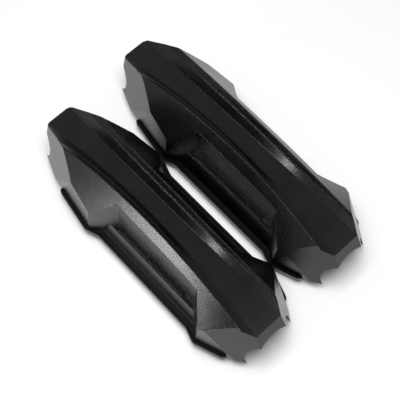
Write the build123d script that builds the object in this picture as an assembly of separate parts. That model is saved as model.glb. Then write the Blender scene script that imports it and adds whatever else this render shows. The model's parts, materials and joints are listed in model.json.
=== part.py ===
from build123d import *
from math import tanh
import os

# Pair of clip-round crash-bar protector blocks, millimetres.
# Each guard is built in its own frame: X along the tube with the long nose at -X, Z up and
# away from the machine, Z = 0 on the parting plane between the outer cover and the back shell.

# ---- overall sizes ----
nose_x = -112.5            # flat end of the long nose
tube_radius = 12.5         # the crash bar that the guard closes round
tube_z = 9.0               # bar axis above the parting plane
wall = 3.0                 # moulded wall of the cover, square to a face
wall_drop = 4.0            # the same wall measured straight down under the top
back_depth = 8.5           # parting plane to the flat that the guard rests on
guard_gap = 0.4            # between the two rims as the pair lies side by side
stagger = 4.5              # how far the second guard lies back along X

# ---- lengthwise curves of the top ----
band_half_width = 6.1
band_peak_z = 45.7
crest_half_width = 13.7
crest_peak_z = 55.3
rail_half_width = 10.6
rail_ledge = 0.9           # narrow step half way up each side of the channel
crest_flat = 0.8
flank_half_width = 34.0
flank_top_z = 25.6
nose_corner_radius = 5.0

# ---- flat faces, each a unit normal for the +Y side and its distance from the guard's origin ----
front_cheek = ((-0.351, 0.900, 0.257), 56.1)
front_flank = ((-0.163, 0.981, 0.110), 42.1)
rear_cheek = ((0.545, 0.787, 0.287), 76.6)
rear_flank = ((0.327, 0.942, 0.066), 58.3)
rear_end = ((0.902, 0.0, 0.433), 110.6)
front_end = ((-1.0, 0.0, 0.0), -nose_x)
pocket_front_wall = ((0.551, 0.829, 0.096), 8.6)
pocket_rear_wall = ((-0.593, 0.800, 0.097), -14.5)

# ---- side pocket, half widths at its levels ----
skirt_half_width = 29.9
panel_top_half_width = 25.8
ledge_inner_half_width = 22.0
pocket_top_half_width = 19.4
ledge_z = 15.0
pocket_top_z = 47.0
groove_width = 0.7         # under the shoulder, and round the long raised panel on the ledge
groove_depth = 0.8
panel_span = (-19.5, 49.0)
pocket_span = (-24.0, 53.0)

# ---- tube arch through both noses ----
arch_radius = 21.2
arch_z = 3.5

# ---- back shell ----
joint_gap = 0.3            # daylight between the skirt and the rim
rim_thickness = 3.0
lip_width = 1.7
lip_height = 1.3
rim_front_x = -77.5
rim_rear_x = 97.0
rim_waist = 35.3
rim_bulge = 39.0
rim_corner_radius = 4.5
trough_half_width = 13.0
trough_wall = 2.4
floor_thickness = 2.0
slot_clearance = 0.9       # beside the skirt, where the lip passes it

# ---- clamp blocks and liners ----
liner_thickness = 1.5
saddle_length = 18.0
saddle_half_width = 16.5
saddle_top_z = 29.0
clamp_stations = {"front": -58.0, "rear": 74.0}
split_gap = 0.3            # each half stops this far short of the tube's centre plane
cradle_clearance = 0.1
cradle_top_z = 3.0

# ---- screws ----
screw_places = [(-66.0, 21.5), (18.0, 21.0), (88.0, 21.0)]
boss_radius = 4.6
boss_top_z = 26.0
insert_radius = 3.5
insert_length = 10.0
insert_bore = 2.5
thread_radius = 2.42
pilot_radius = 2.8
screw_reach = 9.0          # how far the thread goes into the insert
pilot_depth = 12.0
head_radius = 4.6
head_height = 2.8
socket_radius = 1.5
socket_depth = 1.8
washer_radius = 5.0
washer_thickness = 1.0
screw_hole_radius = 2.8

BIG = 500.0
STATIONS = [-124.0 + 31.0 * i for i in range(9)]


# ---- curves of the top: half width and height at a place along the guard ----
def band(x):
    return band_half_width + 3.9e-4 * (x + 7) ** 2, band_peak_z - 12.8e-4 * (x - 10) ** 2


def rail(x):
    rise = 3.6 - 3.0 * tanh((x - 30) / 35)
    return rail_half_width + 6.4e-4 * (x + 6) ** 2 - 1.6e-6 * max(x, 0) ** 3, band(x)[1] + rise


def crest(x):
    return crest_half_width + 4.3e-4 * (x - 12) ** 2, crest_peak_z - 17e-4 * (x - 1) ** 2


def shoulder_z(x, y):
    """The shoulder runs straight from the crest down to the top of the flank."""
    crest_y, crest_z = crest(x)
    slope = (crest_z - flank_top_z) / (flank_half_width - crest_y - crest_flat / 2)
    return flank_top_z + slope * (flank_half_width - y)


def section(x, drop, bottom):
    """Closed outline across the guard at x, lowered by drop, down to bottom."""
    band_y, band_z = band(x)
    rail_y, rail_z = rail(x)
    crest_y, crest_z = crest(x)
    outer_y = 46.0
    half = [(band_y, band_z), (rail_y - rail_ledge / 2, rail_z), (rail_y + rail_ledge / 2, rail_z + 0.1),
            (crest_y - crest_flat / 2, crest_z), (crest_y + crest_flat / 2, crest_z),
            (outer_y, shoulder_z(x, outer_y))]
    points = [Vector(x, y, z - drop) for y, z in half] + [Vector(x, outer_y, bottom)]
    points += [Vector(x, -p.Y, p.Z) for p in reversed(points)]
    edges = [Edge.make_line(a, b) for a, b in zip(points, points[1:] + points[:1])]
    return Wire(edges)


def beyond(face, inset=0.0, side=1, flip=1):
    """Everything past a flat face that is moved inwards by inset, or short of it when flipped."""
    (nx, ny, nz), distance = face
    normal = Vector(nx, side * ny, nz).normalized()
    block = Box(BIG, BIG, BIG / 2, align=(Align.CENTER, Align.CENTER, Align.MIN))
    return Plane(origin=normal * (distance - inset), z_dir=normal * flip) * block


def pocket(side, grow=0.0):
    """The side recess between the two bulges, with its ledge; grow pushes its walls into the cover."""
    drop = 20.0
    lean = (skirt_half_width - panel_top_half_width) / ledge_z
    rise = (ledge_inner_half_width - pocket_top_half_width) / (pocket_top_z - ledge_z)
    high = 40.0
    outline = [
        (skirt_half_width + lean * drop - grow, -drop),
        (panel_top_half_width - grow, ledge_z - grow),
        (ledge_inner_half_width - grow, ledge_z - grow),
        (pocket_top_half_width - rise * high - grow, pocket_top_z + high),
        (90, pocket_top_z + high),
        (90, -drop),
    ]
    wire = Wire.make_polygon([Vector(-90, side * y, z) for y, z in outline], close=True)
    prism = Part() + Solid.extrude(Face(wire), Vector(200, 0, 0))
    for face in (pocket_front_wall, pocket_rear_wall):
        prism -= beyond(face, grow, side, -1)
    return prism


def cover_block(inset=0.0, drop=0.0, bottom=0.0):
    """Solid of the cover's outer shape, or of its cavity when it is inset."""
    block = Part() + Solid.make_loft([section(x, drop, bottom) for x in STATIONS])
    for face in (front_end, rear_end):
        block -= beyond(face, inset)
    for side in (1, -1):
        for face in (front_cheek, front_flank, rear_cheek, rear_flank):
            block -= beyond(face, inset, side)
        block -= pocket(side, inset)
    return block


def cylinder_up(radius, height, x, y, z):
    return Pos(x, y, z) * Cylinder(radius, height, align=(Align.CENTER, Align.CENTER, Align.MIN))


def box_between(low, high):
    size = [abs(b - a) for a, b in zip(low, high)]
    middle = [(a + b) / 2 for a, b in zip(low, high)]
    return Pos(*middle) * Box(*size)


def along_x(radius, x0, x1, z):
    """Round bar along X."""
    return Pos((x0 + x1) / 2, 0, z) * Rot(0, 90, 0) * Cylinder(radius, x1 - x0)


def screw_points():
    return [(x, side * y) for x, y in screw_places for side in (1, -1)]


# ---- outer cover ----
def panel_groove(side):
    """Thin groove round the raised panel that runs along the ledge."""
    x0, x1 = panel_span
    y0, y1 = ledge_inner_half_width + 0.15, panel_top_half_width - 0.6
    z0, z1 = ledge_z - groove_depth, ledge_z + 5
    g = groove_width
    ring = box_between((x0, side * y0, z0), (x1, side * y1, z1))
    return ring - box_between((x0 + g, side * (y0 + g), z0 - 1), (x1 - g, side * (y1 - g), z1 + 1))


def shoulder_groove(side):
    """Thin groove in the pocket's upper wall, close under the edge of the shoulder."""
    xs = [pocket_span[0] + (pocket_span[1] - pocket_span[0]) * i / 8 for i in range(9)]
    edge = [(x, shoulder_z(x, pocket_top_half_width) - 0.4) for x in xs]
    points = edge + [(x, z - groove_width) for x, z in reversed(edge)]
    depth = pocket_top_half_width - groove_depth
    wire = Wire.make_polygon([Vector(x, side * depth, z) for x, z in points], close=True)
    return Part() + Solid.extrude(Face(wire), Vector(0, side * 20, 0))


def rounded_nose(block):
    """Round the two upright corners of the long nose."""
    corners = []
    for edge in block.edges():
        size = edge.bounding_box().size
        if edge.center().X < nose_x + 0.1 and abs(edge.center().Y) > 5 and size.Z > max(12, 2.5 * size.Y):
            corners.append(edge)
    return fillet(corners, nose_corner_radius) if corners else block


def make_outer_cover():
    outer = rounded_nose(cover_block())
    cavity = cover_block(wall, wall_drop, -20.0)
    shell = outer - cavity
    inside = Part()
    for x, y in screw_points():
        inside += cylinder_up(boss_radius, boss_top_z, x, y, 0)
        inside += box_between((x - 1, min(y, y * 1.6), 4), (x + 1, max(y, y * 1.6), boss_top_z))
    for x in clamp_stations.values():
        for dx in (-saddle_length / 2 + 1.5, saddle_length / 2 - 1.5):
            inside += box_between((x + dx - 1.25, -30, saddle_top_z), (x + dx + 1.25, 30, 60))
    inside += box_between((-95, -1.25, 31), (95, 1.25, 60))
    shell += inside & outer
    for x, y in screw_points():
        shell -= cylinder_up(insert_radius, insert_length, x, y, 0)
        shell -= cylinder_up(pilot_radius, pilot_depth, x, y, 0)
    reach = 140.0
    for x0, x1 in ((-reach, clamp_stations["front"] - 12), (clamp_stations["rear"] + 12, reach)):
        shell -= along_x(arch_radius, x0, x1, arch_z)
        shell -= box_between((x0, -arch_radius, -1), (x1, arch_radius, arch_z))
    for side in (1, -1):
        shell -= panel_groove(side)
        shell -= shoulder_groove(side)
    return shell


# ---- back shell ----
def plan_corner(face_a, face_b):
    """Where two faces meet on the parting plane, on the +Y side."""
    (ax, ay, _), ad = face_a
    (bx, by, _), bd = face_b
    det = ax * by - bx * ay
    return (ad * by - bd * ay) / det, (ax * bd - bx * ad) / det


def rim_outline():
    front_slope = -front_flank[0][0] / front_flank[0][1]
    rear_slope = -rear_flank[0][0] / rear_flank[0][1]
    front_bulge_x = plan_corner(front_flank, pocket_front_wall)[0] - 1.5
    rear_bulge_x = plan_corner(rear_flank, pocket_rear_wall)[0] + 0.5
    return [
        (rim_front_x, rim_bulge + front_slope * (rim_front_x - front_bulge_x)),
        (front_bulge_x, rim_bulge),
        (front_bulge_x + 11, rim_waist),
        (rear_bulge_x - 11, rim_waist),
        (rear_bulge_x, rim_bulge),
        (rim_rear_x, rim_bulge + rear_slope * (rim_rear_x - rear_bulge_x)),
    ]


def plate(half, z0, z1, radius=0.0, shrink=0.0):
    """Flat slab with a mirrored outline; radius rounds its corners and shrink steps it in."""
    points = half + [(x, -y) for x, y in reversed(half)]
    face = Face(Wire.make_polygon([Vector(x, y, 0) for x, y in points], close=True))
    outline = Sketch(face.wrapped)
    if radius:
        outline = fillet(outline.vertices(), radius)
    if shrink:
        outline = offset(outline, -shrink)
    return Pos(0, 0, z0) * extrude(outline, z1 - z0, dir=(0, 0, 1))


def make_back_shell():
    top = -joint_gap
    outline = rim_outline()
    shell = plate(outline, top - rim_thickness, top, rim_corner_radius)
    lip = plate(outline, top - 0.5, top + lip_height, rim_corner_radius)
    lip -= plate(outline, top - 1.0, top + lip_height + 1, rim_corner_radius, lip_width)
    for face, x in ((front_flank, rim_front_x), (rear_flank, rim_rear_x)):
        (nx, ny, _), distance = face
        free = (distance - nx * x) / ny + slot_clearance
        lip -= box_between((x - 4, -free, top), (x + 4, free, top + lip_height + 1))
    shell += lip
    trough_outer = trough_half_width + trough_wall
    shell += box_between((rim_front_x, -trough_outer, -back_depth), (rim_rear_x, trough_outer, top))
    shell -= box_between((rim_front_x - 1, -trough_half_width, floor_thickness - back_depth),
                         (rim_rear_x + 1, trough_half_width, 5))
    for x, y in screw_points():
        shell -= cylinder_up(screw_hole_radius, 20, x, y, -10)
    return shell


# ---- clamp pieces ----
def half_sleeve(x, upper):
    """Rubber half sleeve on the tube."""
    x0, x1 = x - saddle_length / 2, x + saddle_length / 2
    sleeve = along_x(tube_radius + liner_thickness, x0, x1, tube_z)
    sleeve -= along_x(tube_radius, x0 - 1, x1 + 1, tube_z)
    if upper:
        return sleeve - box_between((x0 - 1, -30, -30), (x1 + 1, 30, tube_z + split_gap))
    return sleeve - box_between((x0 - 1, -30, tube_z - split_gap), (x1 + 1, 30, 60))


def make_saddle(x):
    x0, x1 = x - saddle_length / 2, x + saddle_length / 2
    block = box_between((x0, -saddle_half_width, tube_z + split_gap), (x1, saddle_half_width, saddle_top_z))
    block = chamfer(block.edges().filter_by(Axis.X).group_by(Axis.Z)[-1], 4.0)
    block -= along_x(tube_radius + liner_thickness, x0 - 1, x1 + 1, tube_z)
    for side in (1, -1):
        y0, y1 = sorted((side * 14.8, side * (saddle_half_width + 1)))
        block -= box_between((x - 4, y0, tube_z + 3), (x + 4, y1, saddle_top_z - 7))
    return block


def make_cradle(x):
    x0, x1 = x - saddle_length / 2, x + saddle_length / 2
    half = trough_half_width - cradle_clearance
    block = box_between((x0, -half, floor_thickness - back_depth), (x1, half, cradle_top_z))
    return block - along_x(tube_radius + liner_thickness, x0 - 1, x1 + 1, tube_z)


# ---- fasteners ----
def make_insert(x, y):
    body = cylinder_up(insert_radius, insert_length, x, y, 0)
    body -= cylinder_up(insert_bore, insert_length + 2, x, y, -1)
    return body


def make_washer(x, y):
    z = -joint_gap - rim_thickness - washer_thickness
    return cylinder_up(washer_radius, washer_thickness, x, y, z) - cylinder_up(screw_hole_radius, 9, x, y, z - 4)


def make_screw(x, y):
    seat = -joint_gap - rim_thickness - washer_thickness
    head = cylinder_up(head_radius, head_height, x, y, seat - head_height)
    head = fillet(head.edges().group_by(Axis.Z)[0], 1.2)
    head += cylinder_up(thread_radius, screw_reach - seat, x, y, seat)
    head = chamfer(head.edges().group_by(Axis.Z)[-1], 0.5)
    socket = Pos(x, y, seat - head_height) * extrude(RegularPolygon(socket_radius, 6), socket_depth)
    return head - socket


def group(pieces):
    return Compound(children=[Solid(p.solid().wrapped) for p in pieces])


def make_guard():
    pieces = {"outer_cover": make_outer_cover(), "back_shell": make_back_shell()}
    for name, x in clamp_stations.items():
        pieces[name + "_saddle"] = make_saddle(x)
        pieces[name + "_cradle"] = make_cradle(x)
        pieces[name + "_upper_liner"] = half_sleeve(x, True)
        pieces[name + "_lower_liner"] = half_sleeve(x, False)
    pieces["brass_inserts"] = group(make_insert(x, y) for x, y in screw_points())
    pieces["clamp_screws"] = group(make_screw(x, y) for x, y in screw_points())
    pieces["screw_washers"] = group(make_washer(x, y) for x, y in screw_points())
    return pieces


# ---- the pair, side by side on their backs ----
os.makedirs("parts", exist_ok=True)
guard = make_guard()
side_step = rim_bulge + guard_gap / 2
for prefix, side in (("left", -1), ("right", 1)):
    place = Pos(-side * stagger / 2, side * side_step, back_depth)
    for name, piece in guard.items():
        export_step(place * piece, "parts/" + prefix + "_" + name + ".step")
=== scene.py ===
import json
import math

import bpy
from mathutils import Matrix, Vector

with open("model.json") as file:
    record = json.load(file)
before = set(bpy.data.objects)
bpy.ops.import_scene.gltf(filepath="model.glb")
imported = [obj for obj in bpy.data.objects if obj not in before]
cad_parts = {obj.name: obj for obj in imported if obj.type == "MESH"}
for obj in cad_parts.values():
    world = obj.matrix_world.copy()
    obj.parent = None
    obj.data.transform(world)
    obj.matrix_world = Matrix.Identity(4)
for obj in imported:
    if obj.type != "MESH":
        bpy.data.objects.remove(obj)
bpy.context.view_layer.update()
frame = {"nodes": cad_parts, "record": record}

MM = 0.001

# ---- camera, on the side that the photograph was taken from ----
CAMERA_AZIMUTH = (0.732, -0.681)      # from the pair towards the camera, seen from above
CAMERA_ELEVATION = math.radians(67.4)
CAMERA_DISTANCE = 706 * MM
CAMERA_LENS = 86.6                    # focal length, in millimetres
CAMERA_SENSOR = 36                    # sensor width, in millimetres
CAMERA_NEAR = 10 * MM                 # nearest thing that the camera sees
PARTING_Z = 8.5 * MM                  # the plane between the covers and the back shells
AIM_OFFSET = 2.0 * MM                 # how far the aim lies from the pair's centre towards the camera

# ---- surfaces: a noise scale is in waves per metre, a depth is a length ----
EDGE_RADIUS = 0.6 * MM                # rounding of the moulded edges
EDGE_SAMPLES = 12
PATCH_SCALE = 55.0                    # broad patches of tone and gloss on plastic
PATCH_SHARE = 0.3                     # how much of the plastic's speckle is patches, the rest is grain
SPECKLE_SPAN = (0.36, 0.64)           # the noise values where the tones and the gloss run from end to end
SWELL_SCALE = 28.0                    # slow unevenness of a moulded wall
SWELL_DEPTH = 0.2 * MM
SWELL_STRENGTH = 0.12
RUBBER_DUST_SCALE = 160.0
RUBBER_GRAIN_SCALE = 1400.0
RUBBER_GRAIN_DEPTH = 0.08 * MM
TURNING_SCALE = 900.0
TURNING_STRETCH = (0.25, 0.25, 6.0)   # draws the noise out into rings round the piece's Z
TURNING_DEPTH = 0.04 * MM
TARNISH_SCALE = 220.0
PAPER_SCALE = 3.0

# ---- stage, in metres ----
FLOOR_HALF = 6.0                      # half a side of the square floor
WALL_LEVEL = 0.30                     # even grey of the studio round the set
AIM_POINT = (0, 0, 0.02)              # what a softbox faces, unless it says otherwise


# ---- node helpers ----
def new_material(name):
    material = bpy.data.materials.new(name)
    material.use_nodes = True
    nodes = material.node_tree.nodes
    return material, nodes, material.node_tree.links, nodes["Principled BSDF"]


def object_coords(nodes):
    return nodes.new("ShaderNodeTexCoord").outputs["Object"]


def noise(nodes, links, coords, scale, detail, rough):
    node = nodes.new("ShaderNodeTexNoise")
    node.inputs["Scale"].default_value = scale
    node.inputs["Detail"].default_value = detail
    node.inputs["Roughness"].default_value = rough
    links.new(coords, node.inputs["Vector"])
    return node.outputs["Fac"]


def ramp(nodes, links, value, span, ends):
    """Runs from one end to the other over the span; an end is a grey level or a colour."""
    node = nodes.new("ShaderNodeValToRGB")
    for element, place, colour in zip(node.color_ramp.elements, span, ends):
        element.position = place
        element.color = (*colour, 1) if isinstance(colour, tuple) else (colour, colour, colour, 1)
    links.new(value, node.inputs["Fac"])
    return node.outputs["Color"]


def bump(nodes, links, height, distance, strength, under=None):
    node = nodes.new("ShaderNodeBump")
    node.inputs["Distance"].default_value = distance
    node.inputs["Strength"].default_value = strength
    links.new(height, node.inputs["Height"])
    if under is not None:
        links.new(under, node.inputs["Normal"])
    return node.outputs["Normal"]


# ---- materials: tones run from dark to light, roughness from low to high ----
def moulded_plastic(name, tones, roughness, grain_scale, grain_depth, specular):
    """Dark plastic with a fine grain, broad patches, a slow swell and edges rounded in its shading."""
    material, nodes, links, shader = new_material(name)
    coords = object_coords(nodes)
    grain = noise(nodes, links, coords, grain_scale, 3.0, 0.65)
    patches = noise(nodes, links, coords, PATCH_SCALE, 4.0, 0.55)
    speckle = nodes.new("ShaderNodeMix")
    speckle.inputs["Factor"].default_value = PATCH_SHARE
    links.new(grain, speckle.inputs["A"])
    links.new(patches, speckle.inputs["B"])
    tone = speckle.outputs["Result"]
    links.new(ramp(nodes, links, tone, SPECKLE_SPAN, tones), shader.inputs["Base Color"])
    links.new(ramp(nodes, links, tone, SPECKLE_SPAN, roughness), shader.inputs["Roughness"])
    shader.inputs["Specular IOR Level"].default_value = specular
    rounding = nodes.new("ShaderNodeBevel")
    rounding.samples = EDGE_SAMPLES
    rounding.inputs["Radius"].default_value = EDGE_RADIUS
    swell = noise(nodes, links, coords, SWELL_SCALE, 2.0, 0.5)
    slow = bump(nodes, links, swell, SWELL_DEPTH, SWELL_STRENGTH, rounding.outputs["Normal"])
    links.new(bump(nodes, links, grain, grain_depth, 1.0, slow), shader.inputs["Normal"])
    return material


def rubber(name):
    """Dull black rubber with a dusty tone and a fine grain."""
    material, nodes, links, shader = new_material(name)
    coords = object_coords(nodes)
    dust = noise(nodes, links, coords, RUBBER_DUST_SCALE, 6.0, 0.7)
    links.new(ramp(nodes, links, dust, (0.35, 0.75), (0.010, 0.022)), shader.inputs["Base Color"])
    links.new(ramp(nodes, links, dust, (0.3, 0.8), (0.72, 0.92)), shader.inputs["Roughness"])
    grain = noise(nodes, links, coords, RUBBER_GRAIN_SCALE, 2.0, 0.5)
    links.new(bump(nodes, links, grain, RUBBER_GRAIN_DEPTH, 0.5), shader.inputs["Normal"])
    shader.inputs["Specular IOR Level"].default_value = 0.3
    return material


def turned_metal(name, tones, roughness):
    """Machined metal: fine turning marks round the piece's Z and a little tarnish."""
    material, nodes, links, shader = new_material(name)
    coords = object_coords(nodes)
    stretch = nodes.new("ShaderNodeMapping")
    stretch.inputs["Scale"].default_value = TURNING_STRETCH
    links.new(coords, stretch.inputs["Vector"])
    rings = noise(nodes, links, stretch.outputs["Vector"], TURNING_SCALE, 3.0, 0.6)
    tarnish = noise(nodes, links, coords, TARNISH_SCALE, 5.0, 0.6)
    links.new(ramp(nodes, links, tarnish, (0.3, 0.7), tones), shader.inputs["Base Color"])
    links.new(ramp(nodes, links, rings, (0.3, 0.7), roughness), shader.inputs["Roughness"])
    links.new(bump(nodes, links, rings, TURNING_DEPTH, 0.4), shader.inputs["Normal"])
    shader.inputs["Metallic"].default_value = 1.0
    return material


BRASS_TONES = ((0.58, 0.38, 0.13), (0.78, 0.56, 0.24))
STEEL_TONES = ((0.16, 0.16, 0.165), (0.26, 0.26, 0.265))
MATERIALS = {
    "cover_plastic": moulded_plastic("cover_plastic", (0.0010, 0.0105), (0.17, 0.31), 1250.0, 0.09 * MM, 0.5),
    "back_plastic": moulded_plastic("back_plastic", (0.0020, 0.0060), (0.26, 0.40), 1500.0, 0.04 * MM, 0.5),
    "clamp_nylon": moulded_plastic("clamp_nylon", (0.020, 0.036), (0.40, 0.54), 1300.0, 0.05 * MM, 0.45),
    "liner_rubber": rubber("liner_rubber"),
    "insert_brass": turned_metal("insert_brass", BRASS_TONES, (0.22, 0.38)),
    "screw_steel": turned_metal("screw_steel", STEEL_TONES, (0.26, 0.40)),
}


# ---- the carried-over CAD nodes get their materials; their own meshes and normals are kept ----
slots = {entry["node"]: entry["material_slot"] for entry in frame["record"]["subparts"]}
for name, node in frame["nodes"].items():
    node.data.materials.clear()
    node.data.materials.append(MATERIALS[slots[name]])


# ---- stage ----
def make_floor():
    """Square of white paper under the pair."""
    material, nodes, links, shader = new_material("paper_floor")
    coords = object_coords(nodes)
    tone = noise(nodes, links, coords, PAPER_SCALE, 2.0, 0.5)
    links.new(ramp(nodes, links, tone, (0.3, 0.7), (0.90, 0.93)), shader.inputs["Base Color"])
    shader.inputs["Roughness"].default_value = 0.9
    shader.inputs["Specular IOR Level"].default_value = 0.2
    mesh = bpy.data.meshes.new("floor")
    half = FLOOR_HALF
    corners = [(-half, -half, 0), (half, -half, 0), (half, half, 0), (-half, half, 0)]
    mesh.from_pydata(corners, [], [(0, 1, 2, 3)])
    mesh.materials.append(material)
    floor = bpy.data.objects.new("floor", mesh)
    bpy.context.collection.objects.link(floor)
    return floor


def make_light(name, place, size, radiance, lights_only, aim=AIM_POINT):
    """Softbox of the given radiance, whose light falls on these objects alone."""
    light = bpy.data.lights.new(name, "AREA")
    light.shape = "RECTANGLE"
    light.size, light.size_y = size
    light.energy = radiance * math.pi * size[0] * size[1]
    lamp = bpy.data.objects.new(name, light)
    lamp.location = place
    lamp.rotation_euler = (Vector(aim) - Vector(place)).to_track_quat("-Z", "Y").to_euler()
    bpy.context.collection.objects.link(lamp)
    receivers = bpy.data.collections.new(name + "_lights")
    for thing in lights_only:
        receivers.objects.link(thing)
    lamp.light_linking.receiver_collection = receivers


def make_world():
    """Even grey all round, as from the walls of a light tent."""
    world = bpy.data.worlds.new("studio")
    world.use_nodes = True
    background = world.node_tree.nodes["Background"]
    background.inputs["Color"].default_value = (WALL_LEVEL, WALL_LEVEL, WALL_LEVEL, 1)
    bpy.context.scene.world = world


def make_camera():
    camera = bpy.data.objects.new("camera", bpy.data.cameras.new("camera"))
    out = Vector((*CAMERA_AZIMUTH, 0)).normalized()
    target = out * AIM_OFFSET + Vector((0, 0, PARTING_Z))
    flat = math.cos(CAMERA_ELEVATION)
    camera.location = target + (out * flat + Vector((0, 0, math.sin(CAMERA_ELEVATION)))) * CAMERA_DISTANCE
    camera.rotation_euler = (target - camera.location).to_track_quat("-Z", "Y").to_euler()
    camera.data.lens = CAMERA_LENS
    camera.data.sensor_width = CAMERA_SENSOR
    camera.data.clip_start = CAMERA_NEAR
    bpy.context.collection.objects.link(camera)
    bpy.context.scene.camera = camera


floor = make_floor()
guards = list(frame["nodes"].values())
make_world()
# keeps the paper white, and leaves the guards to the other three
make_light("floor_wash", place=(0, -0.05, 0.85), size=(0.5, 0.5), radiance=9.0, lights_only=[floor])
# lies on the paper in front of the pair and faces up, as a bright patch of paper would
make_light("near_floor", place=(0.02, -0.43, 0.003), size=(0.28, 0.32), radiance=18.0,
           lights_only=guards, aim=(0.02, -0.43, 1.0))
# long and narrow, for the light lines along the edges
make_light("edge_strip", place=(-0.3, -1.02, 1.25), size=(1.8, 0.14), radiance=24.0, lights_only=guards)
# weak, beyond the short noses
make_light("top_end", place=(0.9, 0.1, 1.3), size=(0.5, 0.5), radiance=2.5, lights_only=guards)
make_camera()
bpy.context.scene.view_settings.view_transform = "Standard"
